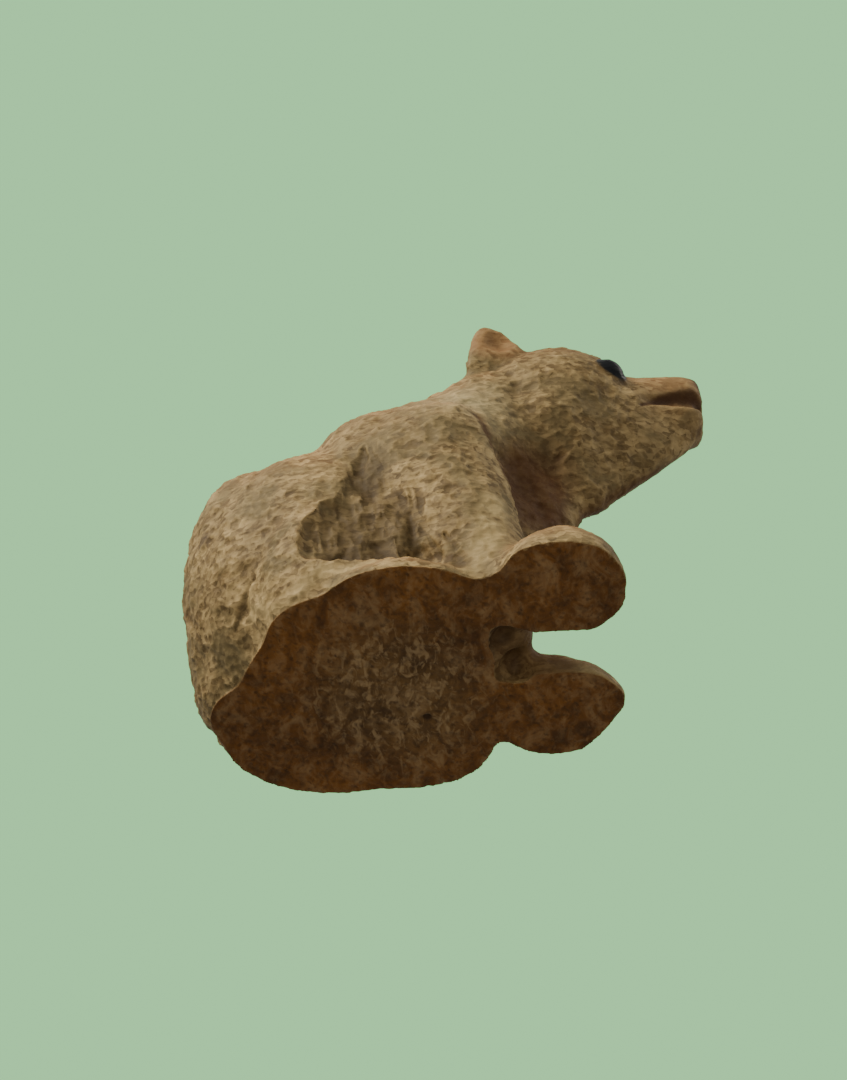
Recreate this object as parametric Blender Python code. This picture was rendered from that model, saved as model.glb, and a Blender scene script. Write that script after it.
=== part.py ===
"""A small bear carved from one block of wood: it sits on its haunches with both forepaws planted
and its head raised. The carver sawed the underside flat, so the bear stands on its haunches and soles.

Metres, +Z up, +X towards the nose, +Y towards the bear's left side. The origin is the middle of the
bear's box, on the ground. The form is laid out in carver's units, of which the bear has BODY_UNITS
from rump to nose, so LENGTH alone sets the size and every mass and gouge keeps its share of it.
"""

import math

import bmesh
import bpy
from mathutils import Euler, Matrix, Vector

LENGTH = 0.087  # rump to nose
BODY_UNITS = 87.0
UNIT = LENGTH / BODY_UNITS

WOOD_SRGB = (0.55, 0.43, 0.30)
WOOD_ROUGHNESS = 0.72

ROUGH_GRAIN = 1.0  # grid of the roughed-out block, in units
ROUGH_PASSES = 9  # how often its creases are rubbed down
TOOL_GRAIN = 0.45  # grid of the gouges' paths, in units
FINE_GRAIN = 0.5  # grid of the gouged carving, in units
FINE_PASSES = 2
KEPT_SHARE = 0.058  # share of the gouged carving's faces that the solid keeps

HAUNCH_Y = 4.0  # the haunches sit a little to the left of the head
PAW_Y = -2.0  # and the forepaws a little to its right
SLOT_X = 14.3  # the gap between the forepaws runs back to here
SIDES = (-1.0, 1.0)  # the bear's right and left

# The upright cuts of the right flank: x, lowest and highest centre, radius, and how far out each one ends.
FLANK_CUTS = (
    (-18.0, 8.2, 14.2, 2.1, 17.6),
    (-15.4, 7.8, 18.6, 2.1, 17.0),
    (-12.8, 7.6, 28.0, 1.7, 16.5),
    (-10.3, 7.6, 24.0, 1.7, 16.8),
    (-7.9, 7.8, 15.2, 1.9, 16.6),
    (-4.4, 8.6, 15.6, 0.9, 17.9),
    (-1.7, 7.8, 11.0, 1.1, 17.6),
    (1.8, 4.8, 8.4, 1.3, 19.0),
)
FLANK_OUTSIDE = 27.0

BALL_SEGMENTS = 28
BALL_RINGS = 18
KNOB_SUBDIVISIONS = 2


def clear_scene():
    """Empties the scene."""
    for old in list(bpy.data.objects):
        bpy.data.objects.remove(old)


def to_linear(srgb):
    """An sRGB colour as linear light."""
    return tuple(c / 12.92 if c <= 0.04045 else ((c + 0.055) / 1.055) ** 2.4 for c in srgb)


def wood():
    """Weathered, unvarnished limewood."""
    material = bpy.data.materials.new("weathered_limewood")
    material.use_nodes = True
    shader = material.node_tree.nodes["Principled BSDF"]
    shader.inputs["Base Color"].default_value = (*to_linear(WOOD_SRGB), 1.0)
    shader.inputs["Roughness"].default_value = WOOD_ROUGHNESS
    shader.inputs["Metallic"].default_value = 0.0
    return material


def placed(centre, radii, turn):
    """The matrix that makes a unit shape an oriented one. Centre and radii in units, turn in degrees."""
    spin = Euler([math.radians(t) for t in turn]).to_matrix().to_4x4()
    size = Matrix.Diagonal((*[r * UNIT for r in radii], 1.0))
    return Matrix.Translation(Vector(centre) * UNIT) @ spin @ size


def ball(shape, centre, radii, turn=(0.0, 0.0, 0.0)):
    """Adds an ellipsoid to shape."""
    grid = {"u_segments": BALL_SEGMENTS, "v_segments": BALL_RINGS}
    bmesh.ops.create_uvsphere(shape, **grid, radius=1.0, matrix=placed(centre, radii, turn))


def hull(shape, *knobs):
    """Adds the tight skin round some balls, each given as (x, y, z, radius)."""
    lump = bmesh.new()
    for x, y, z, radius in knobs:
        place = placed((x, y, z), (radius,) * 3, (0.0, 0.0, 0.0))
        bmesh.ops.create_icosphere(lump, subdivisions=KNOB_SUBDIVISIONS, radius=1.0, matrix=place)
    skin = bmesh.ops.convex_hull(lump, input=lump.verts, use_existing_faces=False)
    spare = skin["geom_interior"] + skin["geom_unused"]
    inner = list({g for g in spare if isinstance(g, bmesh.types.BMVert)})
    bmesh.ops.delete(lump, geom=inner, context="VERTS")
    made = bpy.data.meshes.new("hull")
    lump.to_mesh(made)
    lump.free()
    shape.from_mesh(made)
    bpy.data.meshes.remove(made)


def slab(shape, low, high, turn=(0.0, 0.0, 0.0)):
    """Adds a box between two corners, turned about its middle."""
    middle = [(a + b) / 2.0 for a, b in zip(low, high)]
    size = [b - a for a, b in zip(low, high)]
    bmesh.ops.create_cube(shape, size=1.0, matrix=placed(middle, size, turn))


def block_of(name, shape):
    """A mesh object from shape."""
    bmesh.ops.recalc_face_normals(shape, faces=shape.faces)
    mesh = bpy.data.meshes.new(name)
    shape.to_mesh(mesh)
    shape.free()
    made = bpy.data.objects.new(name, mesh)
    bpy.context.scene.collection.objects.link(made)
    return made


def add_remesh(target, name, grain):
    """Puts the whole of an object on a grid of the given grain, as one skin."""
    modifier = target.modifiers.new(name, "REMESH")
    modifier.mode = "VOXEL"
    modifier.voxel_size = grain * UNIT
    modifier.use_smooth_shade = False


def tool_of(name, shape):
    """A helper shape with one skin, joined to the bear or cut from it, and not a piece itself."""
    made = block_of(name, shape)
    add_remesh(made, "one_skin", TOOL_GRAIN)
    made.hide_render = True
    made.display_type = "WIRE"
    return made


def torso(shape):
    """Rump, belly, back and chest."""
    ball(shape, (-18.2, HAUNCH_Y + 1.0, 20.8), (24.2, 23.0, 25.0))
    ball(shape, (-30.0, HAUNCH_Y - 0.5, 27.5), (11.6, 15.5, 15.8))
    ball(shape, (-19.6, HAUNCH_Y + 4.5, 13.5), (22.3, 18.5, 16.0))
    ball(shape, (-11.5, HAUNCH_Y, 2.0), (18.5, 20.0, 16.0))
    ball(shape, (1.0, 0.0, 0.0), (7.0, 17.0, 8.0))
    ball(shape, (-28.0, HAUNCH_Y + 7.0, 8.0), (12.8, 12.8, 11.6))
    ball(shape, (-8.8, 1.3, 33.4), (15.2, 17.8, 20.5))
    ball(shape, (-2.0, 0.5, 35.0), (15.5, 18.5, 19.0))
    ball(shape, (4.0, 0.0, 22.0), (11.0, 12.0, 20.0))
    upper_breast = [(9.0, side * 4.0, 38.0, 6.0) for side in SIDES]
    lower_breast = [(4.0, PAW_Y + side * 4.0, 14.0, 6.0) for side in SIDES]
    hull(shape, (20.4, 0.0, 33.8, 4.0), (11.8, PAW_Y, 10.0, 3.4), *upper_breast, *lower_breast)
    ball(shape, (8.2, PAW_Y, 7.0), (6.6, 11.0, 6.0))


def head(shape):
    """Neck, skull, cheeks, muzzle and throat."""
    ball(shape, (5.0, 0.0, 43.5), (14.0, 14.5, 15.0))
    ball(shape, (8.5, 0.0, 50.0), (10.5, 12.5, 13.0))
    ball(shape, (19.5, 0.0, 55.0), (15.0, 12.5, 13.0))
    cheeks = [(18.5, side * 3.0, 49.5, 9.6) for side in SIDES]
    jaws = [(35.5, side * 0.8, 54.6, 5.7) for side in SIDES]
    hull(shape, *cheeks, *jaws, (39.6, 0.0, 49.4, 3.8), (24.3, 0.0, 35.8, 3.8))
    rear = [(30.0, side * 4.0, z, 2.4) for side in SIDES for z in (52.6, 57.6)]
    front = [(42.7, side * 2.7, z, 2.4) for side in SIDES for z in (51.6, 58.4)]
    hull(shape, *rear, *front)


def hind_leg(shape, side):
    """Thigh and the foot that lies along the ground."""
    if side < 0.0:
        ball(shape, (-14.5, HAUNCH_Y - 11.0, 11.0), (15.5, 13.5, 17.0))
        ball(shape, (-4.5, HAUNCH_Y - 18.5, 0.0), (12.5, 8.5, 6.0))
    else:
        ball(shape, (-18.0, HAUNCH_Y + 12.0, 9.5), (21.3, 16.6, 17.4))
        ball(shape, (-6.5, HAUNCH_Y + 16.0, 0.0), (13.6, 9.6, 6.0))
        hull(shape, (-2.0, HAUNCH_Y + 16.0, 0.0, 5.5), (4.4, HAUNCH_Y + 15.4, 0.0, 3.4))


def foreleg(shape, side):
    """Shoulder, forearm and paw."""
    shoulder = [(1.5, side * 9.5, 36.5, 10.0), (-6.0, side * 8.5, 33.0, 10.0)]
    elbow, wrist = (0.5, side * 12.0, 15.0, 6.5), (9.0, PAW_Y + side * 11.5, 5.0, 6.3)
    hull(shape, *shoulder, elbow, wrist)
    hull(shape, (9.0, PAW_Y + side * 12.0, 3.0, 6.2), (17.0, PAW_Y + side * 13.8, 0.0, 7.4))
    toes = 21.2 if side < 0.0 else 18.6
    ball(shape, (toes - 2.0, PAW_Y + side * 14.0, 0.0), (9.6, 10.4, 9.0))
    outer = [(x, PAW_Y + side * 18.0, 0.0, 6.2) for x in (toes, 16.0)]
    inner = [(x, PAW_Y + side * 10.2, 0.0, 6.2) for x in (21.2, 16.0)]
    hull(shape, *outer, *inner, (24.2, PAW_Y + side * 11.4, 0.0, 4.6))


def roughed_block():
    """All the masses that the carver blocks out first, rubbed into one another."""
    shape = bmesh.new()
    torso(shape)
    head(shape)
    for side in SIDES:
        hind_leg(shape, side)
        foreleg(shape, side)
    return block_of("bear", shape)


def raised_details():
    """What the carver leaves standing: pricked ears, brows, the beads of the eyes and the nose."""
    shape = bmesh.new()
    for side in SIDES:
        hull(
            shape,
            (8.2, side * 9.4, 68.5, 1.3),
            (7.2, side * 9.2, 66.4, 1.4),
            (6.4, side * 8.6, 59.0, 1.8),
            (11.4, side * 9.4, 66.7, 1.3),
            (13.6, side * 8.8, 63.6, 1.4),
            (14.8, side * 7.6, 60.8, 1.8),
            (10.5, side * 5.0, 60.0, 2.5),
        )
        brow = [(27.0, side * 6.6, 59.4, 2.6), (20.0, side * 7.0, 59.5, 3.5), (28.0, side * 3.0, 59.6, 2.2)]
        hull(shape, *brow)
        ball(shape, (29.5, side * 8.4, 57.5), (2.6, 1.7, 1.7), (0.0, 22.0, side * -35.0))
    hull(shape, *[(43.2, side * 1.8, 59.6, 1.6) for side in SIDES], (41.0, 0.0, 59.2, 1.8))
    return tool_of("raised_details", shape)


def flank_scoops():
    """The hollow of the right flank above the foot: upright cuts of a gouge, side by side."""
    shape = bmesh.new()
    for x, low, high, radius, floor in FLANK_CUTS:
        ys = (-floor - radius, -FLANK_OUTSIDE)
        hull(shape, *[(x, y, z, radius) for y in ys for z in (low, high)])
    return tool_of("flank_scoops", shape)


def thigh_crease():
    """The groove that sets the right thigh off from the rump."""
    shape = bmesh.new()
    hull(shape, (-27.8, -14.2, 8.6, 0.5), (-29.9, -9.8, 5.4, 0.9))
    hull(shape, (-29.9, -9.8, 5.4, 0.9), (-31.4, -5.2, 2.8, 0.6))
    return tool_of("thigh_crease", shape)


def mouth():
    """The line of the mouth: a notch under an overhanging lip, open at the front."""
    shape = bmesh.new()
    for side in SIDES:
        hull(
            shape,
            (33.6, side * 6.2, 52.0, 0.3),
            (46.5, side * 2.4, 52.3, 0.3),
            (46.5, side * 2.4, 54.9, 0.3),
            (46.5, side * 8.0, 51.4, 0.3),
            (46.5, side * 8.0, 55.6, 0.3),
            (40.0, side * 7.0, 55.1, 0.3),
            (34.4, side * 9.0, 51.7, 0.3),
        )
    hull(shape, *[(x, side * 4.0, z, 0.3) for x in (43.8, 48.0) for z in (52.6, 53.9) for side in SIDES])
    return tool_of("mouth", shape)


def ear_cups():
    """The hollow of each ear."""
    shape = bmesh.new()
    for side in SIDES:
        ball(shape, (11.3, side * 12.4, 64.8), (3.6, 3.6, 3.7))
    return tool_of("ear_cups", shape)


def throat_hollows():
    """The hollow on each side of the throat, under the cheek and in front of the shoulder."""
    shape = bmesh.new()
    for side in SIDES:
        upper, middle = (8.8, side * 17.6, 38.2, 1.2), (15.8, side * 11.4, 31.5, 5.2)
        hull(shape, upper, middle, (19.2, side * 9.0, 27.0, 4.2), (20.6, side * 9.4, 34.4, 3.0))
    return tool_of("throat_hollows", shape)


def between_paws():
    """The gap between the forepaws, and two knife pits under the chest."""
    shape = bmesh.new()
    slab(shape, (SLOT_X, PAW_Y - 4.6, -4.0), (SLOT_X + 20.0, PAW_Y + 4.2, 7.0))
    ball(shape, (10.2, PAW_Y - 2.6, 0.0), (2.6, 2.2, 3.4))
    ball(shape, (11.6, PAW_Y + 3.4, 0.0), (2.6, 3.0, 4.0))
    return tool_of("between_paws", shape)


def add_smooth(bear, name, passes):
    """Rubs the creases down."""
    modifier = bear.modifiers.new(name, "SMOOTH")
    modifier.factor = 0.5
    modifier.iterations = passes


def add_boolean(bear, tool, operation="DIFFERENCE"):
    """Cuts the tool's path from the carving, or joins it on."""
    modifier = bear.modifiers.new(tool.name, "BOOLEAN")
    modifier.operation = operation
    modifier.solver = "EXACT"
    modifier.object = tool


def saw_block():
    """Everything under the ground: the saw takes it off and leaves the flat underside."""
    shape = bmesh.new()
    far = 2.0 * BODY_UNITS
    slab(shape, (-far, -far, -far), (far, far, 0.0))
    made = block_of("saw", shape)
    made.hide_render = True
    made.display_type = "WIRE"
    return made


def stand_on_origin(bear, tools):
    """Moves the bear and its tools together, so that the middle of the bear's box is over the origin."""
    graph = bpy.context.evaluated_depsgraph_get()
    corners = [Vector(corner) for corner in bear.evaluated_get(graph).bound_box]
    middle = [(min(c[i] for c in corners) + max(c[i] for c in corners)) / 2.0 for i in range(2)]
    stand = bpy.data.objects.new("bear_stand", None)
    bpy.context.scene.collection.objects.link(stand)
    stand.location = (-middle[0], -middle[1], 0.0)
    for item in (bear, *tools):
        item.parent = stand


def main():
    """Builds the bear."""
    clear_scene()
    bear = roughed_block()
    bear.data.materials.append(wood())
    add_remesh(bear, "rough_grid", ROUGH_GRAIN)
    add_smooth(bear, "rub_down", ROUGH_PASSES)
    details = raised_details()
    add_boolean(bear, details, "UNION")
    gouges = [flank_scoops(), thigh_crease(), mouth(), ear_cups(), throat_hollows(), between_paws()]
    for tool in gouges:
        add_boolean(bear, tool)
    add_remesh(bear, "fine_grid", FINE_GRAIN)
    add_smooth(bear, "rub_over", FINE_PASSES)
    thin = bear.modifiers.new("thin_out", "DECIMATE")
    thin.ratio = KEPT_SHARE
    saw = saw_block()
    add_boolean(bear, saw)
    stand_on_origin(bear, [details, *gouges, saw])


main()
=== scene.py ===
import logging
import math
from dataclasses import dataclass
from enum import Enum

import bpy
import numpy as np
from mathutils import Euler, Matrix, Vector, kdtree, noise


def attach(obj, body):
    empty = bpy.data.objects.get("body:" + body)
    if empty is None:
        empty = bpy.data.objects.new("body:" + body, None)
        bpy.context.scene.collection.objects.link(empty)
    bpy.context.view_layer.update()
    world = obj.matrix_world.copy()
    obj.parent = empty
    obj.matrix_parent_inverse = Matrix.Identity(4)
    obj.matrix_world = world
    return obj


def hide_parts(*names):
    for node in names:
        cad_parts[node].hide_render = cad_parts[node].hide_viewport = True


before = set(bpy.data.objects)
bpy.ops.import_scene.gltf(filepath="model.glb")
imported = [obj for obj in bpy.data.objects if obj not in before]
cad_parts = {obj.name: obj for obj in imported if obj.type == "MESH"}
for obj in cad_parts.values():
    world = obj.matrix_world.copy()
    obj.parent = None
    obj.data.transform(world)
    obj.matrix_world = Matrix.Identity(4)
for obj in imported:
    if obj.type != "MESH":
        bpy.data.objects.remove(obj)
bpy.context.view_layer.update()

MM = 0.001
# Where the carver's layout starts, in millimetres from the middle of the bear's box. Places on the
# bear are given in that layout: +X towards the nose, +Y towards its left side, +Z up from the ground.
LAYOUT_ORIGIN = np.array((-1.377, -3.127, 0.0))
SEED = 20

logging.basicConfig(level=logging.INFO, format="%(message)s")
LOG = logging.getLogger("bear")


class Zone(Enum):
    """The parts of the surface that the carver worked in different ways."""

    WHOLE = "whole"
    COAT = "coat"
    HEAD = "head"
    FLANK = "flank"
    SOLE = "sole"


# The way of the strokes in the zones where they keep one way: across the underside, upright elsewhere.
STROKE_WAYS = {
    Zone.SOLE: (0.0, 1.0, 0.0),
    Zone.HEAD: (-0.45, 0.0, 1.0),
    Zone.FLANK: (0.2, 0.0, -1.0),
}


def linear(hex_code: str) -> tuple[float, float, float, float]:
    """Turns an sRGB hex colour to linear light.

    Args:
        hex_code: six hex digits, with or without a leading hash.

    Returns:
        Red, green, blue and a full alpha.
    """
    digits = hex_code.lstrip("#")
    srgb = [int(digits[i : i + 2], 16) / 255.0 for i in (0, 2, 4)]
    return (*[c / 12.92 if c <= 0.04045 else ((c + 0.055) / 1.055) ** 2.4 for c in srgb], 1.0)


def ease(values: np.ndarray, start: float, full: float) -> np.ndarray:
    """Eases values from 0 at one value to 1 at another.

    Args:
        values: any numbers.
        start: where the result leaves 0.
        full: where the result reaches 1, above the start or below it.

    Returns:
        The eased numbers.
    """
    t = np.clip((values - start) / (full - start), 0.0, 1.0)
    return t * t * (3.0 - 2.0 * t)


def add_node(tree: bpy.types.NodeTree, kind: str, settings: dict, links: dict) -> bpy.types.Node:
    """Adds one shader node.

    Args:
        tree: the node tree.
        kind: the node's type name.
        settings: attribute or input names with their values.
        links: input names with the output sockets that feed them.

    Returns:
        The node.
    """
    node = tree.nodes.new(kind)
    for name, value in settings.items():
        if name in node.inputs:
            node.inputs[name].default_value = value
        else:
            setattr(node, name, value)
    for name, socket in links.items():
        tree.links.new(socket, node.inputs[name])
    return node


@dataclass(frozen=True)
class Gouge:
    """One kind of stroke that the carver made over and over. Sizes are ranges in millimetres."""

    zone: Zone
    count: int
    length: tuple[float, float]
    width: tuple[float, float]
    depth: tuple[float, float]
    wander_deg: float
    # The share of the length in which the gouge goes down. Then it stops short and leaves a steep end.
    entry_share: float = 0.68
    steepness: int = 4
    # The least cosine between the normal where a stroke starts and the normals that it reaches.
    reach_cosine: float = 0.4


@dataclass(frozen=True)
class Spot:
    """A round area, in the layout, in millimetres. A paired one is on both sides of the bear."""

    centre: tuple[float, float, float]
    radii: tuple[float, float, float]
    # The share of the radii at which the edge begins to fade, and at which it is gone.
    fade: tuple[float, float] = (0.5, 1.1)
    turn_deg: tuple[float, float, float] = (0.0, 0.0, 0.0)
    paired: bool = False

    def cover(self, layout: np.ndarray) -> np.ndarray:
        """How far each point is in the area.

        Args:
            layout: the points in the carver's layout.

        Returns:
            1 in the middle and 0 outside, for each point.
        """
        found = np.zeros(len(layout))
        for side in (-1.0, 1.0) if self.paired else (1.0,):
            centre = np.array(self.centre) * (1.0, side, 1.0)
            x, y, z = self.turn_deg
            turn = np.array(Euler([math.radians(t) for t in (x, y, z * side)]).to_matrix())
            reach = np.linalg.norm(((layout - centre) @ turn) / np.array(self.radii), axis=1)
            found = np.maximum(found, 1.0 - ease(reach, *self.fade))
        return found


@dataclass(frozen=True)
class Line:
    """A cut, a band of painted shade, or a worn edge that is also painted light, along a line, in the
    layout, in millimetres.

    Each point has its own radius. A paired line is on both sides of the bear.
    """

    points: tuple[tuple[float, float, float], ...]
    radii: tuple[float, ...]
    depth: float = 0.0
    # How dark the line is painted: painted shade in the cut or hollow that it follows.
    stain: float = 1.0
    paired: bool = False
    # The share of the radius at which the edge begins to fade. It is gone at the full radius.
    core: float = 0.2

    def cover(self, layout: np.ndarray) -> np.ndarray:
        """How far each point is in the line.

        Args:
            layout: the points in the carver's layout.

        Returns:
            1 along the middle and 0 outside, for each point.
        """
        found = np.zeros(len(layout))
        for side in (-1.0, 1.0) if self.paired else (1.0,):
            points = np.array(self.points) * (1.0, side, 1.0)
            for start, end, first, last in zip(points, points[1:], self.radii, self.radii[1:]):
                run = end - start
                share = np.clip((layout - start) @ run / (run @ run), 0.0, 1.0)
                gap = np.linalg.norm(layout - start - share[:, None] * run, axis=1)
                radius = first + (last - first) * share
                found = np.maximum(found, 1.0 - ease(gap / radius, self.core, 1.0))
        return found


@dataclass(frozen=True)
class Surface:
    """The surface before the strokes, in millimetres, with one row for each point."""

    place: np.ndarray
    normal: np.ndarray
    layout: np.ndarray
    tree: kdtree.KDTree


@dataclass
class BearSkin:
    """The bear's surface as the gouge left it, on the form of the solid. Lengths are in millimetres."""

    node_name: str = "bear"
    merge_mm: float = 0.001
    grid_mm: float = 0.31
    grid_rub: float = 0.5
    grid_rub_passes: int = 5
    most_triangles: int = 196000

    # The strokes.
    facets: Gouge = Gouge(Zone.WHOLE, 900, (5.0, 9.0), (3.2, 5.4), (0.10, 0.42), 40.0)
    coat_strokes: Gouge = Gouge(Zone.COAT, 12000, (2.0, 4.2), (1.2, 2.4), (0.22, 0.40), 36.0)
    head_strokes: Gouge = Gouge(Zone.HEAD, 3400, (1.8, 3.4), (1.2, 2.4), (0.18, 0.29), 55.0)
    flutes: Gouge = Gouge(Zone.FLANK, 420, (4.0, 9.0), (1.0, 2.0), (0.20, 0.65), 9.0)
    torn_grain: Gouge = Gouge(Zone.SOLE, 3600, (1.2, 3.0), (0.6, 1.2), (0.03, 0.18), 30.0, 0.55)
    # The coat's strokes rise a little towards the tail, more so on the rump, and swirl as hair does.
    coat_rise: float = 0.2
    rump_rise: float = 0.5
    rump_start: tuple[float, float] = (-8.0, -26.0)
    swirl_mm: float = 9.0
    swirl_turn: float = 0.9
    # A direction this short, once it is laid on the surface, is replaced by a level one.
    shortest_way: float = 0.2

    # The areas, along the layout's X unless the name says otherwise: where each starts and is full.
    head_start: tuple[float, float] = (12.0, 17.0)
    head_lean: float = 0.45
    head_level: float = 50.0
    muzzle_start: tuple[float, float] = (31.0, 35.0)
    paws_start: tuple[float, float] = (8.0, 14.0)
    paws_height: tuple[float, float] = (14.0, 8.0)
    sole_height: tuple[float, float] = (1.2, 0.5)
    sole_facing: tuple[float, float] = (0.8, 0.97)
    # How far a surface must face up to take the painted rim light.
    rim_light_facing: tuple[float, float] = (0.1, 0.85)
    eye: Spot = Spot((29.5, 8.4, 57.5), (2.6, 1.7, 1.7), (1.12, 1.3), (0.0, 22.0, -35.0), paired=True)
    nose: Spot = Spot((44.2, 0.0, 58.8), (3.2, 5.8, 3.2), (0.6, 1.1))
    ear: Spot = Spot((10.4, 9.2, 66.0), (6.5, 4.0, 6.0), (0.7, 1.1), paired=True)
    nape: Spot = Spot((4.0, 15.0, 45.5), (12.0, 9.0, 10.0), (0.1, 1.2), paired=True)
    recess: Spot = Spot((14.0, -2.0, 1.5), (9.5, 7.0, 8.5), (0.8, 1.1))
    throat: Spot = Spot((17.0, 9.0, 31.5), (8.5, 8.0, 9.5), (0.6, 1.15), paired=True)
    flank: Spot = Spot((-9.6, -17.0, 14.0), (10.0, 5.0, 9.5), (0.6, 1.1))
    flank_top: Spot = Spot((-10.0, -16.5, 25.5), (4.4, 4.5, 8.5), (0.3, 1.1))
    face: Spot = Spot((38.0, 0.0, 60.0), (13.0, 9.0, 12.0), (0.3, 1.2))
    fresh_sole: Spot = Spot((-7.0, 6.0, 0.0), (16.0, 20.0, 4.0), (0.4, 1.15))
    rump_knot: Spot = Spot((-37.2, -8.8, 21.4), (2.6, 2.6, 2.2), (0.3, 1.1))
    sole_pit: Spot = Spot((-2.9, 11.6, 0.0), (1.1, 1.1, 1.1), (0.3, 1.0))
    sole_pit_depth: float = 0.5
    recess_pits: tuple[Spot, ...] = (
        Spot((9.8, -3.1, 2.2), (1.7, 1.3, 2.0), (0.1, 1.1)),
        Spot((11.2, 3.6, 2.5), (1.6, 1.3, 2.0), (0.1, 1.1)),
    )
    recess_pit_depth: float = 0.3

    # The lines: the crease of the thigh, the mouth, the jaw, the collar, single cuts and the worn edge. All
    # but the worn edge are painted darker as painted shade, and the worn edge is also painted light.
    crease: Line = Line(
        ((-27.8, -13.4, 8.2), (-28.8, -11.8, 7.8), (-29.5, -10.5, 6.8), (-30.2, -8.7, 5.4),
         (-31.3, -6.2, 4.0)),
        (0.4, 0.7, 0.8, 0.8, 0.5), 0.25, 0.45)
    # A shallow cut, painted dark as the shadow under the upper lip.
    mouth: Line = Line(
        ((34.2, 6.6, 50.7), (37.8, 5.0, 53.2), (40.8, 4.4, 54.5), (42.8, 3.9, 54.9), (43.8, 2.0, 54.6)),
        (0.5, 1.3, 2.0, 2.3, 2.2), 0.2, 0.85, paired=True)
    # No cut: a band of painted shade under the jaw.
    jaw: Line = Line(
        ((23.0, 0.5, 30.5), (29.6, 0.5, 35.4), (33.1, 0.6, 38.2), (37.0, 0.6, 42.0)),
        (3.4, 2.8, 2.2, 1.2), 0.0, 0.7)
    # A shallow cut, painted dark as the shade in the neck's hollow on the near side.
    collar: Line = Line(
        ((7.4, -15.8, 40.0), (9.6, -14.6, 34.0), (12.5, -12.0, 28.0), (14.5, -8.5, 23.5),
         (20.0, -4.0, 26.0)),
        (1.6, 2.6, 3.4, 4.0, 4.4), 0.15, 0.75)
    # Single cuts on the flank and the ears, painted dark as the shade in them, and two bands of painted
    # shade with no cut, low in the flank and under the brow.
    chops: tuple[Line, ...] = (
        Line(((-3.9, -17.3, 17.0), (-2.6, -16.4, 9.4)), (0.5, 1.5), 0.35, 0.5),
        Line(((-1.2, -17.5, 11.8), (0.5, -17.0, 7.8)), (0.4, 1.2), 0.35, 0.5),
        Line(((1.6, -18.3, 11.0), (3.9, -18.8, 4.6)), (0.6, 2.2), 0.35, 0.6),
        Line(((-11.4, -16.2, 33.0), (-11.8, -16.6, 26.0), (-9.6, -16.6, 21.0)),
             (0.8, 2.2, 2.2), 0.45, 0.35),
        Line(((-16.5, -18.0, 8.0), (-11.0, -16.8, 8.0), (-5.5, -16.6, 8.2)), (2.2, 3.0, 2.2), 0.0, 0.6),
        Line(((9.0, 10.6, 62.2), (10.4, 10.2, 60.8)), (0.5, 0.7), 0.2, 0.35, paired=True),
        Line(((13.0, 10.2, 63.0), (14.0, 9.8, 61.9)), (0.5, 0.7), 0.2, 0.35, paired=True),
        Line(((27.2, 8.6, 58.9), (29.4, 8.2, 59.4)), (0.8, 0.9), 0.0, 0.7, paired=True),
    )
    # A pale band along the near side's lower edge and up the forepaw: wear, and painted light where that
    # side faces the light.
    worn_and_lit: Line = Line(
        ((-28.2, -9.6, 4.0), (-25.5, -12.6, 2.2), (-21.0, -15.6, 1.6), (-16.5, -18.8, 3.6),
         (-9.0, -19.4, 4.0), (0.0, -18.8, 3.4), (6.0, -18.8, 3.0), (9.0, -18.5, 9.0), (9.5, -18.0, 17.0)),
        (2.4, 2.4, 2.2, 2.0, 1.8, 2.0, 3.0, 4.5, 3.5))

    # Flank, recess and ears are rubbed soft before the strokes, but not at the edge of the underside.
    rub_passes: int = 40
    soft_rub: float = 0.6
    rub_height: tuple[float, float] = (0.2, 1.0)
    # How much shallower the strokes are on muzzle, paws and ears.
    fine_work: float = 0.55
    # How dark these places are painted, against the throat and the knot, which are painted at full
    # strength. The recess and the throat get painted shade, the pits between the forepaws are darker, and
    # the mouth gets the painted shadow under the upper lip.
    recess_shade: float = 0.7
    recess_pit_darkening: float = 0.45
    mouth_shadow: float = 0.7
    # How wide the finish looks round each point for a groove or a hollow, and the depth it calls full. The
    # finish paints the grooves and hollows darker as shade, and the ridges between grooves paler as
    # highlight.
    groove_shading_passes: int = 8
    groove_shading_mm: float = 0.10
    occlusion_passes: int = 160
    occlusion_mm: float = 0.9

    def build(self) -> bpy.types.Object:
        """Makes the finished surface.

        Returns:
            The carved bear, as one mesh object at the origin.
        """
        piece = self._copied()
        self._regrid(piece)
        self._carve(piece.data)
        self._thin(piece)
        piece.data.polygons.foreach_set("use_smooth", [True] * len(piece.data.polygons))
        return piece

    def _copied(self) -> bpy.types.Object:
        """Copies the solid and merges its loose triangles.

        Returns:
            The copy.
        """
        piece = bpy.data.objects.new("bear_carved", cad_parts[self.node_name].data.copy())
        bpy.context.scene.collection.objects.link(piece)
        bpy.ops.object.select_all(action="DESELECT")
        piece.select_set(True)
        bpy.context.view_layer.objects.active = piece
        bpy.ops.object.mode_set(mode="EDIT")
        bpy.ops.mesh.select_all(action="SELECT")
        bpy.ops.mesh.remove_doubles(threshold=self.merge_mm * MM)
        bpy.ops.object.mode_set(mode="OBJECT")
        piece.data.materials.clear()
        return piece

    def _regrid(self, piece: bpy.types.Object) -> None:
        """Puts the surface on a fine even grid, and rubs the solid's facets down.

        Args:
            piece: the copy of the solid.
        """
        grid = piece.modifiers.new("grid", "REMESH")
        grid.mode = "VOXEL"
        grid.voxel_size = self.grid_mm * MM
        bpy.ops.object.modifier_apply(modifier=grid.name)
        rub = piece.modifiers.new("rub", "SMOOTH")
        rub.factor = self.grid_rub
        rub.iterations = self.grid_rub_passes
        bpy.ops.object.modifier_apply(modifier=rub.name)

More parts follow.
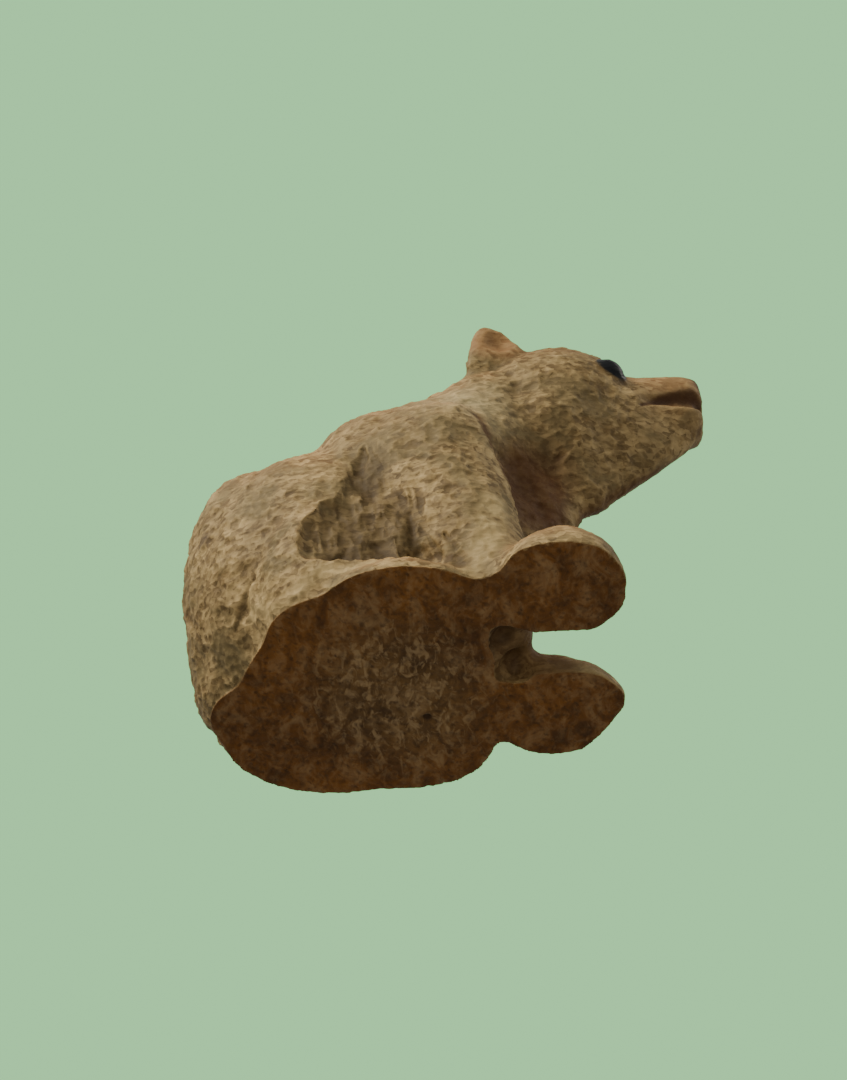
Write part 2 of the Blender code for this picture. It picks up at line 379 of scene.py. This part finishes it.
    def _thin(self, piece: bpy.types.Object) -> None:
        """Takes triangles out where the surface is plain.

        Args:
            piece: the carved surface.
        """
        triangles = sum(len(face.vertices) - 2 for face in piece.data.polygons)
        thin = piece.modifiers.new("thin", "DECIMATE")
        thin.ratio = min(1.0, self.most_triangles / triangles)
        bpy.ops.object.modifier_apply(modifier=thin.name)

    def _carve(self, mesh: bpy.types.Mesh) -> None:
        """Cuts all strokes and notes at each point what the finish has to know.

        Args:
            mesh: the surface on its even grid.
        """
        place = self._read(mesh.vertices, "co") / MM
        edges = self._read(mesh.edges, "vertices", 2).astype(np.int64)
        layout = place - LAYOUT_ORIGIN
        soft = np.maximum(self.recess.cover(layout), self.ear.cover(layout))
        rubbed = np.maximum(self._flank_cover(layout), self.soft_rub * soft)
        rubbed *= ease(place[:, 2], *self.rub_height)
        place += (self._settled(place, edges, self.rub_passes) - place) * rubbed[:, None]
        self._move(mesh, place)

        tree = kdtree.KDTree(len(place))
        for index, point in enumerate(place):
            tree.insert(point, index)
        tree.balance()
        surface = Surface(place, self._read(mesh.vertex_normals, "vector"), layout, tree)
        areas = self._areas(surface)
        cut, tone = self._cuts(surface, areas)
        moved = place - surface.normal * cut[:, None]
        moved[:, 2] = np.maximum(moved[:, 2], 0.0)
        self._move(mesh, moved)

        # Fine grooves and wide hollows, which the finish paints darker as shade, and fine ridges, which it
        # paints paler as highlight.
        groove_shading = self._hollow(moved, surface.normal, edges, self.groove_shading_passes) / self.groove_shading_mm
        painted_occlusion = self._hollow(moved, surface.normal, edges, self.occlusion_passes) / self.occlusion_mm
        for name, values in {"tone": tone, "groove_shading": groove_shading, "painted_occlusion": painted_occlusion, **areas}.items():
            note = mesh.attributes.new(name=name, type="FLOAT", domain="POINT")
            note.data.foreach_set("value", np.clip(values, -1.0, 1.0).astype(np.float32))

    def _areas(self, surface: Surface) -> dict[str, np.ndarray]:
        """Finds the parts of the bear that are cut or coloured in ways of their own.

        Args:
            surface: the surface.

        Returns:
            For each part, how far each point is in it, from 0 to 1.
        """
        layout, upright = surface.layout, surface.normal[:, 2]
        sole = ease(-upright, *self.sole_facing) * ease(surface.place[:, 2], *self.sole_height)
        leant = layout[:, 0] + self.head_lean * (layout[:, 2] - self.head_level)
        # Dark spots: the rump's knot and the pits in the sole and between the forepaws, and the painted
        # shadow under the upper lip.
        grime_and_shade = (
            self.rump_knot.cover(layout),
            self.sole_pit.cover(layout) * sole,
            self.recess_pit_darkening * self._pit_cover(layout),
            self.mouth_shadow * self.mouth.cover(layout),
        )
        # Painted shade in the recess under the forepaws and in the throat.
        shaded_hollows = (self.recess_shade * self.recess.cover(layout), self.throat.cover(layout))
        # Painted shade along mouth, jaw and collar, and in the crease and the chops.
        scored_and_shaded = [line.stain * line.cover(layout) for line in (self.mouth, self.jaw, self.collar)]
        shaded_chops = [line.stain * line.cover(layout) for line in (self.crease, *self.chops)]
        return {
            "sole": sole,
            "eye": self.eye.cover(layout),
            "nose": self.nose.cover(layout),
            "ear": self.ear.cover(layout),
            "head": ease(leant, *self.head_start),
            "nape": self.nape.cover(layout),
            "painted_rim_light": ease(upright, *self.rim_light_facing),
            "shaded_hollows": np.max(shaded_hollows, axis=0),
            "flank": self._flank_cover(layout),
            "fresh": self.fresh_sole.cover(layout),
            "dark_spots_and_mouth_shadow": np.max(grime_and_shade, axis=0),
            "scored_and_shaded": np.max(scored_and_shaded, axis=0),
            "shaded_chops": np.max(shaded_chops, axis=0),
            "face": self.face.cover(layout),
            "worn_and_lit": self.worn_and_lit.cover(layout),
        }

    def _flank_cover(self, layout: np.ndarray) -> np.ndarray:
        """How far each point is in the hollow of the flank."""
        return np.maximum(self.flank.cover(layout), self.flank_top.cover(layout))

    def _pit_cover(self, layout: np.ndarray) -> np.ndarray:
        """How far each point is in a pit between the forepaws."""
        return np.max([pit.cover(layout) for pit in self.recess_pits], axis=0)

    def _cuts(self, surface: Surface, areas: dict[str, np.ndarray]) -> tuple[np.ndarray, np.ndarray]:
        """Makes the strokes and the single cuts.

        Args:
            surface: the surface.
            areas: how far each point is in each part of the bear.

        Returns:
            How deep each point is cut, and the tone of the stroke there.
        """
        layout = surface.layout
        sole, head, flank = areas["sole"], areas["head"], areas["flank"]
        wood = (1.0 - sole) * (1.0 - areas["eye"])
        rng = np.random.default_rng(SEED)
        broad, _ = self._strokes(self.facets, surface, rng, wood)
        fine, tone = self._strokes(self.coat_strokes, surface, rng, wood * (1.0 - head) * (1.0 - flank))
        for gouge, area in ((self.head_strokes, head), (self.flutes, flank)):
            cut, its_tone = self._strokes(gouge, surface, rng, wood * area)
            tone = np.where(cut > fine, its_tone, tone)
            fine = np.maximum(fine, cut)
        torn, sole_tone = self._strokes(self.torn_grain, surface, rng, sole)

        muzzle = ease(layout[:, 0], *self.muzzle_start)
        paws = ease(layout[:, 0], *self.paws_start) * ease(layout[:, 2], *self.paws_height)
        tame = 1.0 - self.fine_work * np.max((muzzle, paws, areas["ear"]), axis=0)
        lines = (self.mouth, self.jaw, self.collar, self.crease, *self.chops)
        scored_and_shaded = sum(line.depth * line.cover(layout) for line in lines)
        scored_and_shaded += self.recess_pit_depth * self._pit_cover(layout)
        under = torn + self.sole_pit_depth * self.sole_pit.cover(layout)
        cut = (broad + fine) * wood * tame + scored_and_shaded * wood + under * sole
        return cut, np.where(sole > 0.5, sole_tone, tone)

    def _strokes(self, gouge: Gouge, surface: Surface, rng: np.random.Generator,
                 chance: np.ndarray) -> tuple[np.ndarray, np.ndarray]:
        """Makes one kind of stroke, all over its zone. Where strokes cross, the deepest one stays.

        Args:
            gouge: the kind of stroke.
            surface: the surface.
            rng: the source of chance.
            chance: how likely a stroke is to be at each point.

        Returns:
            How deep the strokes cut at each point, and the tone of the stroke that cuts deepest there.
        """
        place, normal = surface.place, surface.normal
        cut = np.zeros(len(place))
        tone = np.full(len(place), 0.5)
        for start in rng.choice(len(place), size=gouge.count, p=chance / chance.sum()):
            length, width, depth = (rng.uniform(*size) for size in (gouge.length, gouge.width, gouge.depth))
            turn = math.radians(rng.normal(0.0, gouge.wander_deg))
            shade = rng.uniform()
            up = normal[start]
            along, across = self._directions(gouge.zone, surface.layout[start], up, turn)
            entry, leave = length * gouge.entry_share, length * (1.0 - gouge.entry_share)
            near = [index for _, index, _ in surface.tree.find_range(place[start], entry)]
            offset = place[near] - place[start]
            t = offset @ along
            run = np.where(t < 0.0, -t / entry, (t / leave) ** gouge.steepness)
            bowl = depth * (1.0 - run - (2.0 * (offset @ across) / width) ** gouge.steepness)
            bowl[normal[near] @ up < gouge.reach_cosine] = 0.0
            deepest = bowl > cut[near]
            chosen = np.array(near)[deepest]
            cut[chosen] = bowl[deepest]
            tone[chosen] = shade
        return cut, tone

    def _directions(self, zone: Zone, spot: np.ndarray, up: np.ndarray,
                    turn: float) -> tuple[np.ndarray, np.ndarray]:
        """The ways along and across a stroke: with the hair on the coat, one way in the other zones.

        Args:
            zone: where the stroke is.
            spot: its place in the layout.
            up: the surface's normal there.
            turn: how far it strays, in radians.

        Returns:
            The unit vectors along and across it.
        """
        if zone in STROKE_WAYS:
            way = np.array(STROKE_WAYS[zone])
        else:
            rise = self.coat_rise + self.rump_rise * float(ease(spot[0], *self.rump_start))
            way = np.array((-1.0, 0.0, rise))
            turn += self.swirl_turn * noise.noise(Vector(spot) / self.swirl_mm)
        along = way - up * (way @ up)
        if np.linalg.norm(along) < self.shortest_way:
            along = np.cross(up, (0.0, 1.0, 0.0))
        along /= np.linalg.norm(along)
        turned = along * math.cos(turn) + np.cross(up, along) * math.sin(turn)
        return turned, np.cross(up, turned)

    def _hollow(self, place: np.ndarray, normal: np.ndarray, edges: np.ndarray, passes: int) -> np.ndarray:
        """How far the surface round each point lies above it, along its normal.

        Args:
            place: the points.
            normal: the normals there.
            edges: the pairs of points that are joined.
            passes: how often each point takes the mean of its neighbours, which sets how wide it looks.

        Returns:
            A height in millimetres, below 0 on ridges.
        """
        return ((self._settled(place, edges, passes) - place) * normal).sum(axis=1)

    def _settled(self, place: np.ndarray, edges: np.ndarray, passes: int) -> np.ndarray:
        """Where the points come to lie when each takes the mean of its neighbours again and again.

        Args:
            place: the points.
            edges: the pairs of points that are joined.
            passes: how often.

        Returns:
            The new places.
        """
        count = len(place)
        ends = np.concatenate((edges[:, 0], edges[:, 1]))
        others = np.concatenate((edges[:, 1], edges[:, 0]))
        number = np.bincount(ends, minlength=count)
        mean = place.copy()
        for _ in range(passes):
            sums = [np.bincount(ends, weights=mean[others, axis], minlength=count) for axis in range(3)]
            mean = 0.5 * mean + 0.5 * np.stack(sums, axis=1) / number[:, None]
        return mean

    def _read(self, items: bpy.types.bpy_prop_collection, name: str, width: int = 3) -> np.ndarray:
        """Reads one property of all items.

        Args:
            items: points, edges or normals.
            name: the property.
            width: how many numbers it has: 3 for a place or a normal, 2 for an edge's points.

        Returns:
            One row for each item.
        """
        values = np.empty(len(items) * width, dtype=np.float64 if width == 3 else np.int32)
        items.foreach_get(name, values)
        return values.reshape(-1, width)

    def _move(self, mesh: bpy.types.Mesh, place: np.ndarray) -> None:
        """Moves the mesh's points to their new places, given in millimetres."""
        mesh.vertices.foreach_set("co", (place * MM).ravel())
        mesh.update()


@dataclass
class MaterialBench:
    """A material's node tree, with the few kinds of node that the bear's finish is made of."""

    tree: bpy.types.NodeTree
    # A grain of the noise is about half a unit of it wide.
    grain_share: float = 0.5
    noise_roughness: float = 0.6
    # The facets' own values gather round the middle, so this range of them is spread.
    facet_range: tuple[float, float] = (0.25, 0.75)

    def object_place(self, stretch: tuple[float, float, float]) -> bpy.types.NodeSocket:
        """The place on the piece itself.

        Args:
            stretch: how much longer the pattern is along each axis.

        Returns:
            The place to read the pattern at.
        """
        place = add_node(self.tree, "ShaderNodeTexCoord", {}, {}).outputs["Object"]
        shrink = {"Scale": [1.0 / s for s in stretch]}
        return add_node(self.tree, "ShaderNodeMapping", shrink, {"Vector": place}).outputs[0]

    def note(self, name: str) -> bpy.types.NodeSocket:
        """What the carving noted at each point under that name."""
        return add_node(self.tree, "ShaderNodeAttribute", {"attribute_name": name}, {}).outputs["Fac"]

    def spread(self, value: bpy.types.NodeSocket, low: float, high: float) -> bpy.types.NodeSocket:
        """Spreads a range of a value over 0 to 1.

        Args:
            value: the value.
            low: what becomes 0.
            high: what becomes 1.

        Returns:
            The spread value.
        """
        settings = {"From Min": low, "From Max": high}
        return add_node(self.tree, "ShaderNodeMapRange", settings, {"Value": value}).outputs[0]

    def speckle(self, size_mm: float, stretch: tuple[float, float, float], detail: float,
                warp: float = 0.0) -> bpy.types.NodeSocket:
        """Noise with grains of a real size.

        Args:
            size_mm: how wide a grain is.
            stretch: how much longer it is along each axis.
            detail: how many finer layers it has.
            warp: how far its grains are pulled out of shape.

        Returns:
            The noise, about 0.5 in the mean.
        """
        settings = {
            "Scale": self.grain_share / (size_mm * MM),
            "Detail": detail,
            "Roughness": self.noise_roughness,
            "Distortion": warp,
        }
        links = {"Vector": self.object_place(stretch)}
        return add_node(self.tree, "ShaderNodeTexNoise", settings, links).outputs["Fac"]

    def chips(self, size_mm: float, stretch: tuple[float, float, float]
              ) -> tuple[bpy.types.NodeSocket, bpy.types.NodeSocket]:
        """Small facets with sharp edges, each with a value of its own.

        Args:
            size_mm: how wide a facet is.
            stretch: how much longer it is along each axis.

        Returns:
            The facets' values, and a height that makes each of them hollow.
        """
        links = {"Vector": self.object_place(stretch)}
        cells = add_node(self.tree, "ShaderNodeTexVoronoi", {"Scale": 1.0 / (size_mm * MM)}, links)
        return self.spread(cells.outputs["Color"], *self.facet_range), cells.outputs["Distance"]

    def weighed(self, value: bpy.types.NodeSocket,
                weight: float | bpy.types.NodeSocket) -> bpy.types.NodeSocket:
        """A value times a weight, held between 0 and 1.

        Args:
            value: the value.
            weight: a number or a socket.

        Returns:
            The product.
        """
        node = add_node(self.tree, "ShaderNodeMath", {"operation": "MULTIPLY", "use_clamp": True}, {})
        self.tree.links.new(value, node.inputs[0])
        if isinstance(weight, float):
            node.inputs[1].default_value = weight
        else:
            self.tree.links.new(weight, node.inputs[1])
        return node.outputs[0]

    def blend(self, under: str | bpy.types.NodeSocket, over: str | bpy.types.NodeSocket,
              share: bpy.types.NodeSocket) -> bpy.types.NodeSocket:
        """Lays one colour over another.

        Args:
            under: a hex code or a socket.
            over: a hex code or a socket.
            share: how much of the upper colour shows.

        Returns:
            The blended colour.
        """
        node = add_node(self.tree, "ShaderNodeMix", {"data_type": "RGBA"}, {})
        self.tree.links.new(share, node.inputs[0])
        for socket, colour in ((node.inputs[6], under), (node.inputs[7], over)):
            if isinstance(colour, str):
                socket.default_value = linear(colour)
            else:
                self.tree.links.new(colour, socket)
        return node.outputs[2]

    def wash(self, under: str | bpy.types.NodeSocket, washes: tuple[tuple, ...]) -> bpy.types.NodeSocket:
        """Lays thin colours over a first one, in order.

        Args:
            under: the first colour, a hex code or a socket.
            washes: for each wash its colour, the socket that says where it lies, and its strength.

        Returns:
            The blended colour.
        """
        for colour, where, strength in washes:
            under = self.blend(under, colour, self.weighed(where, strength))
        return under


@dataclass(frozen=True)
class CarvedLimewood:
    """Limewood cut with a gouge and left bare.

    The wood is fine and even, so the tool leaves clean facets with hardly any figure. Each facet has a
    tone of its own, because the tool bruises some and shaves others clean. The cuts and hollows are
    painted darker as shade and the ridges paler as highlight, and the sawn underside is dark end grain
    that has taken up stain and dirt.
    """

    pale: str = "#C6AC78"
    mid: str = "#90774A"
    dark: str = "#4C3A1A"
    umber_stain_and_shade: str = "#413008"
    russet_shade: str = "#512C00"
    grime_and_shade: str = "#2E1A06"
    drab: str = "#716340"
    rosy: str = "#C08450"
    nape: str = "#BCB48C"
    worn_and_lit: str = "#C9B27E"
    sole_warm: str = "#84551A"
    sole_cool: str = "#7C6036"
    sole_pale: str = "#B0946A"
    sole_dark: str = "#362006"
    eye: str = "#0A0E13"
    nose: str = "#41200F"
    ior: float = 1.5
    specular: float = 0.35
    roughness: float = 0.7
    eye_roughness: float = 0.28
    facet_mm: float = 2.4
    chip_mm: float = 0.95
    chip_stretch: tuple[float, float, float] = (1.5, 1.2, 0.8)
    chip_height_mm: float = 0.25
    chip_strength: float = 0.35
    stain_mm: float = 9.0
    patch_mm: float = 4.5
    shaving_mm: float = 1.1
    fleck_mm: float = 0.5
    fibre_mm: float = 0.9
    speck_mm: float = 0.45
    # The pores of limewood are half as wide, but finer ones than these can't be seen.
    pore_mm: float = 0.4
    pore_height_mm: float = 0.12
    pore_strength: float = 0.25

    def make(self) -> bpy.types.Material:
        """Builds the material.

        Returns:
            The material.
        """
        material = bpy.data.materials.new("gouged_limewood")
        material.use_nodes = True
        tree = material.node_tree
        tree.nodes.clear()
        bench = MaterialBench(tree)
        wood = bench.blend(self._coat(bench), self._underside(bench), bench.note("sole"))
        wood = bench.wash(wood, (
            (self.nose, bench.note("nose"), 0.85),
            # Dark knot and pits, and the painted shadow under the upper lip.
            (self.grime_and_shade, bench.note("dark_spots_and_mouth_shadow"), 0.75),
        ))
        # The paint of the eyes covers the wood and shines, and nothing else on the bear does.
        eye = bench.note("eye")
        gloss = {"To Min": self.roughness, "To Max": self.eye_roughness}
        surface = {
            "Base Color": bench.blend(wood, self.eye, eye),
            "Roughness": add_node(tree, "ShaderNodeMapRange", gloss, {"Value": eye}).outputs[0],
            "Normal": self._relief(bench),
        }
        shine = {"IOR": self.ior, "Specular IOR Level": self.specular}
        shader = add_node(tree, "ShaderNodeBsdfPrincipled", shine, surface)
        add_node(tree, "ShaderNodeOutputMaterial", {}, {"Surface": shader.outputs[0]})
        return material

    def _relief(self, bench: MaterialBench) -> bpy.types.NodeSocket:
        """The relief that is finer than the mesh: raised grain, and small hollow chips.

        Args:
            bench: the material's bench.

        Returns:
            The normal.
        """
        pores = bench.speckle(self.pore_mm, (2.0, 1.0, 0.8), 3.0)
        _, hollow = bench.chips(self.chip_mm, self.chip_stretch)
        rise = {"Strength": self.pore_strength, "Distance": self.pore_height_mm * MM}
        grain = add_node(bench.tree, "ShaderNodeBump", rise, {"Height": pores}).outputs[0]
        rise = {"Strength": self.chip_strength, "Distance": self.chip_height_mm * MM}
        return add_node(bench.tree, "ShaderNodeBump", rise, {"Height": hollow, "Normal": grain}).outputs[0]

    def _coat(self, bench: MaterialBench) -> bpy.types.NodeSocket:
        """The carved sides.

        Args:
            bench: the material's bench.

        Returns:
            Their colour.
        """
        mottle = bench.spread(bench.speckle(self.facet_mm, (1.5, 1.0, 0.8), 4.0, 0.8), 0.40, 0.60)
        shaving = bench.spread(bench.speckle(self.shaving_mm, (1.6, 1.2, 0.8), 3.0, 1.2), 0.42, 0.60)
        stain = bench.spread(bench.speckle(self.stain_mm, (1.0, 1.0, 1.0), 3.0, 0.6), 0.42, 0.62)
        patch = bench.spread(bench.speckle(self.patch_mm, (1.3, 1.0, 0.9), 3.0, 1.0), 0.46, 0.60)
        fleck = bench.spread(bench.speckle(self.fleck_mm, (1.8, 1.0, 0.6), 2.0, 0.6), 0.60, 0.70)
        ragged = bench.spread(bench.speckle(self.facet_mm, (1.0, 1.0, 1.0), 4.0, 0.8), 0.30, 0.55)
        chip, _ = bench.chips(self.chip_mm, self.chip_stretch)
        bruised = bench.spread(bench.note("tone"), 0.4, 0.05)
        clean = bench.spread(bench.note("tone"), 0.5, 0.9)
        flank = bench.note("flank")
        return bench.wash(self.mid, (
            # The tones of single facets, from shaved clean to bruised.
            (self.pale, mottle, 0.8),
            (self.dark, shaving, 0.55),
            (self.pale, clean, 0.75),
            (self.dark, bruised, 0.42),
            (self.pale, bench.spread(chip, 0.6, 0.9), 0.5),
            (self.dark, bench.spread(chip, 0.35, 0.1), 0.4),
            # Age: stains, greyish patches and dark flecks.
            (self.dark, stain, 0.4),
            (self.drab, patch, 0.75),
            (self.dark, fleck, 0.6),
            # The parts of the bear that differ in tone, and a rosy painted rim light on what faces up.
            (self.nape, bench.note("nape"), 0.4),
            (self.rosy, bench.note("painted_rim_light"), 0.3),
            (self.rosy, bench.note("ear"), 0.35),
            (self.dark, bench.note("head"), 0.2),
            (self.rosy, bench.note("face"), 0.35),
            # Painted shade in the grooves, painted highlight on the ridges, and a pale edge above the
            # underside that is wear and painted light.
            (self.dark, bench.spread(bench.note("groove_shading"), 0.1, 1.0), 0.18),
            (self.pale, bench.spread(bench.note("groove_shading"), -0.1, -0.9), 0.3),
            (self.worn_and_lit, bench.weighed(bench.note("worn_and_lit"), ragged), 0.6),
            # Umber in the flank, partly a stain and partly painted shade, and umber painted shade in the
            # crease and the chops.
            (self.umber_stain_and_shade, flank, 0.68),
            (self.umber_stain_and_shade, bench.weighed(flank, bruised), 0.8),
            (self.umber_stain_and_shade, bench.note("shaded_chops"), ragged),
            # Russet painted shade in throat and recess, and along mouth, jaw and collar.
            (self.russet_shade, bench.note("shaded_hollows"), 0.86),
            (self.russet_shade, bench.note("scored_and_shaded"), 0.95),
            # Painted shade in the hollows.
            (self.grime_and_shade, bench.spread(bench.note("painted_occlusion"), 0.05, 0.9), 0.35),
        ))

    def _underside(self, bench: MaterialBench) -> bpy.types.NodeSocket:
        """The sawn end grain that the bear stands on.

        Args:
            bench: the material's bench.

        Returns:
            Its colour.
        """
        fresh = bench.note("fresh")
        fibres = bench.spread(bench.speckle(self.fibre_mm, (0.8, 1.6, 1.0), 3.0, 1.0), 0.50, 0.64)
        stain = bench.spread(bench.speckle(self.stain_mm, (1.0, 1.0, 1.0), 3.0), 0.35, 0.65)
        specks = bench.spread(bench.speckle(self.speck_mm, (1.0, 1.4, 1.0), 2.0), 0.58, 0.70)
        mottle = bench.speckle(self.facet_mm, (0.8, 1.3, 1.0), 4.0, 0.8)
        return bench.wash(self.sole_warm, (
            # The middle is cooler in colour, and its torn fibres show pale.
            (self.sole_cool, fresh, 0.8),
            (self.sole_dark, stain, 0.5),
            (self.sole_dark, bench.spread(mottle, 0.50, 0.36), 0.5),
            (self.sole_pale, bench.spread(mottle, 0.50, 0.66), 0.35),
            (self.sole_pale, bench.weighed(fibres, fresh), 0.6),
            (self.sole_pale, fibres, 0.15),
            (self.sole_dark, specks, 0.4),
            (self.sole_dark, bench.spread(bench.note("tone"), 0.5, 0.0), 0.35),
            # Painted shade in the grooves of the torn grain.
            (self.sole_dark, bench.spread(bench.note("groove_shading"), 0.1, 0.8), 0.5),
        ))


@dataclass(frozen=True)
class Lamp:
    """A square soft box that points at the bear."""

    name: str
    place_mm: tuple[float, float, float]
    side_mm: float
    watts: float
    colour: str
    aim_mm: tuple[float, float, float] = (0.0, 0.0, 30.0)

    def hang(self) -> None:
        """Adds the lamp to the scene."""
        light = bpy.data.lights.new(self.name, "AREA")
        light.shape = "SQUARE"
        light.size = self.side_mm * MM
        light.energy = self.watts
        light.color = linear(self.colour)[:3]
        lamp = bpy.data.objects.new(self.name, light)
        bpy.context.scene.collection.objects.link(lamp)
        place = Vector(self.place_mm) * MM
        aim = (Vector(self.aim_mm) * MM - place).to_track_quat("-Z", "Y")
        lamp.matrix_world = Matrix.Translation(place) @ aim.to_matrix().to_4x4()


@dataclass
class Studio:
    """A pale floor, soft light from above, what the floor throws back, and the photograph's camera."""

    azimuth_deg: float = 4.0
    elevation_deg: float = -45.0
    distance_mm: float = 330.0
    nearest_mm: float = 10.0
    sensor_mm: float = 36.0
    mm_per_pixel: float = 0.1527
    photo_px: tuple[int, int] = (847, 1080)
    layout_origin_px: tuple[float, float] = (441.0, 668.0)
    backdrop: str = "#ADF8AE"
    sky: str = "#F2F1EA"
    # The sky's strength goes from the first value below the bear to the second above it.
    sky_heights: tuple[float, float] = (-0.9, 0.3)
    sky_strengths: tuple[float, float] = (0.17, 0.52)
    floor: str = "#D5DDD0"
    floor_side_mm: float = 4000.0
    floor_drop_mm: float = 0.4
    lamps: tuple[Lamp, ...] = (
        Lamp("key", (-320.0, -290.0, 310.0), 180.0, 2.7, "#FFF4E2"),
        Lamp("front_fill", (330.0, -60.0, 260.0), 240.0, 0.3, "#FFF8EE"),
        Lamp("far_fill", (-60.0, 380.0, 260.0), 240.0, 0.5, "#FFF8EE"),
        Lamp("floor_bounce", (40.0, -260.0, -300.0), 260.0, 0.3, "#FFEFDC"),
    )

    def build(self) -> None:
        """Sets up the floor, the sky, the lamps and the camera."""
        self._lay_floor()
        self._light_sky()
        for lamp in self.lamps:
            lamp.hang()
        self._stand_camera()

    def _lay_floor(self) -> None:
        """Lays a floor that shows only from above, because the photograph looks up from under it."""
        drop = (0.0, 0.0, -self.floor_drop_mm * MM)
        bpy.ops.mesh.primitive_plane_add(size=self.floor_side_mm * MM, location=drop)
        floor = bpy.context.active_object
        floor.name = "floor"
        material = bpy.data.materials.new("matt_pale_floor")
        material.use_nodes = True
        tree = material.node_tree
        tree.nodes.clear()
        paint = add_node(tree, "ShaderNodeBsdfDiffuse", {"Color": linear(self.floor)}, {}).outputs[0]
        clear = add_node(tree, "ShaderNodeBsdfTransparent", {}, {}).outputs[0]
        below = add_node(tree, "ShaderNodeNewGeometry", {}, {}).outputs["Backfacing"]
        self._output(tree, "ShaderNodeOutputMaterial", below, paint, clear)
        floor.data.materials.append(material)
        floor.visible_diffuse = False
        floor.visible_glossy = False
        floor.visible_transmission = False
        floor.visible_shadow = False

    def _light_sky(self) -> None:
        """Gives the camera a plain backdrop, and the bear soft light that is stronger from above."""
        world = bpy.data.worlds.new("studio")
        bpy.context.scene.world = world
        world.use_nodes = True
        tree = world.node_tree
        tree.nodes.clear()
        seen = add_node(tree, "ShaderNodeBackground", {"Color": linear(self.backdrop)}, {}).outputs[0]
        way = add_node(tree, "ShaderNodeTexCoord", {}, {}).outputs["Generated"]
        height = add_node(tree, "ShaderNodeSeparateXYZ", {}, {"Vector": way}).outputs["Z"]
        limits = ("From Min", "From Max", "To Min", "To Max")
        share = dict(zip(limits, self.sky_heights + self.sky_strengths))
        links = {"Strength": add_node(tree, "ShaderNodeMapRange", share, {"Value": height}).outputs[0]}
        lit = add_node(tree, "ShaderNodeBackground", {"Color": linear(self.sky)}, links).outputs[0]
        from_camera = add_node(tree, "ShaderNodeLightPath", {}, {}).outputs["Is Camera Ray"]
        self._output(tree, "ShaderNodeOutputWorld", from_camera, lit, seen)

    def _output(self, tree: bpy.types.NodeTree, kind: str, pick: bpy.types.NodeSocket,
                no: bpy.types.NodeSocket, yes: bpy.types.NodeSocket) -> None:
        """Ends a node tree with a choice of two shaders.

        Args:
            tree: the node tree.
            kind: the output node's type name.
            pick: 0 or 1.
            no: the shader where it is 0.
            yes: the shader where it is 1.
        """
        choice = tree.nodes.new("ShaderNodeMixShader")
        for socket, source in zip(choice.inputs, (pick, no, yes)):
            tree.links.new(source, socket)
        add_node(tree, kind, {}, {"Surface": choice.outputs[0]})

    def _stand_camera(self) -> None:
        """Puts the camera where the photograph was taken: under the bear, on its right."""
        azimuth, elevation = math.radians(self.azimuth_deg), math.radians(self.elevation_deg)
        level = math.cos(elevation)
        back = Vector((math.sin(azimuth) * level, -math.cos(azimuth) * level, math.sin(elevation)))
        right = Vector((math.cos(azimuth), math.sin(azimuth), 0.0))
        up = back.cross(right)
        across = (self.photo_px[0] / 2.0 - self.layout_origin_px[0]) * self.mm_per_pixel
        above = (self.layout_origin_px[1] - self.photo_px[1] / 2.0) * self.mm_per_pixel
        aim = Vector(LAYOUT_ORIGIN) + right * across + up * above
        lens = bpy.data.cameras.new("camera")
        lens.sensor_width = self.sensor_mm
        lens.lens = self.distance_mm / self.mm_per_pixel * self.sensor_mm / self.photo_px[1]
        lens.clip_start = self.nearest_mm * MM
        camera = bpy.data.objects.new("camera", lens)
        bpy.context.scene.collection.objects.link(camera)
        turn = Matrix((right, up, back)).transposed().to_4x4()
        camera.matrix_world = Matrix.Translation((aim + back * self.distance_mm) * MM) @ turn
        bpy.context.scene.camera = camera


def main() -> None:
    """Builds the bear, its finish and the studio."""
    bear = BearSkin().build()
    bear.data.materials.append(CarvedLimewood().make())
    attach(bear, "root")
    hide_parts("bear")
    LOG.info("bear_carved: %d triangles", sum(len(face.vertices) - 2 for face in bear.data.polygons))
    studio = Studio()
    studio.build()
    LOG.info("studio: floor, camera and %d lamps", len(studio.lamps))


if __name__ == "__main__":
    main()
